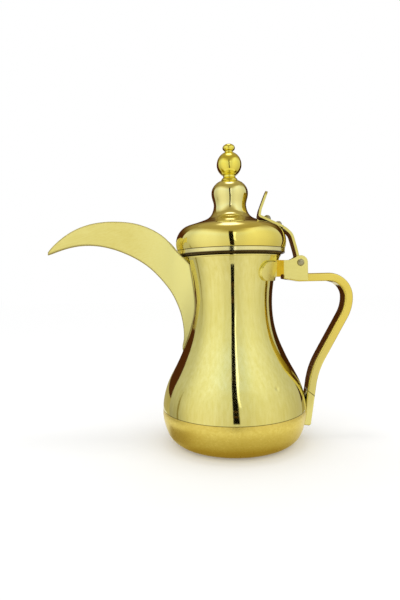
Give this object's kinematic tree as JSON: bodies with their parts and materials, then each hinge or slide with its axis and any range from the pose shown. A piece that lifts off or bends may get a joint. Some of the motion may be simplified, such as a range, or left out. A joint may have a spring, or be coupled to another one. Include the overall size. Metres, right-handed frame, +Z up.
{
  "type": "dallah coffee pot",
  "caption": "Brass dallah coffee pot with a waisted body, long curved beak spout, flat bar handle and a hinged domed lid with a thumb lever and ball finial.",
  "frame": {"origin": "centre of the base, on the surface that the pot stands on", "axes": "+Z up along the body's axis, +X toward the handle, -X toward the spout, +Y toward the back"},
  "size_m": [0.2658, 0.1254, 0.2583],
  "materials": {
    "shell_brass": "mirror polish",
    "cup_brass": "satin polish",
    "spout_brass": "fine lengthwise brushing",
    "bracket_brass": "fine brushing",
    "handle_brass": "fine lengthwise brushing",
    "lid_brass": "mirror polish",
    "finial_brass": "mirror polish",
    "rivet_brass": "dull",
    "inner_brass": "plain turned"
  },
  "bodies": {
    "pot": {"body_shell": "shell_brass", "base_cup": "cup_brass", "mouth_ring": "shell_brass", "spout_plate_front": "spout_brass", "spout_plate_back": "spout_brass", "hinge_bracket_front": "bracket_brass", "hinge_bracket_back": "bracket_brass", "hinge_pin": "rivet_brass", "handle_bar": "handle_brass", "handle_foot": "handle_brass"},
    "lid": {"lid_dome": "lid_brass", "lid_rim_band": "lid_brass", "lid_plug_ring": "inner_brass", "finial_collar": "finial_brass", "finial_ball": "finial_brass", "finial_bead": "finial_brass", "finial_stud": "inner_brass", "finial_washer": "inner_brass", "finial_nut": "inner_brass", "thumb_lever": "bracket_brass", "hinge_strap": "bracket_brass", "lever_rivets": "rivet_brass"}
  },
  "joints": [
    {"name": "lid_hinge", "type": "hinge", "parent": "pot", "child": "lid", "pos_m": [0.0588, 0, 0.1537], "axis": [0, 1, 0], "range_deg": [0, 110]}
  ]
}
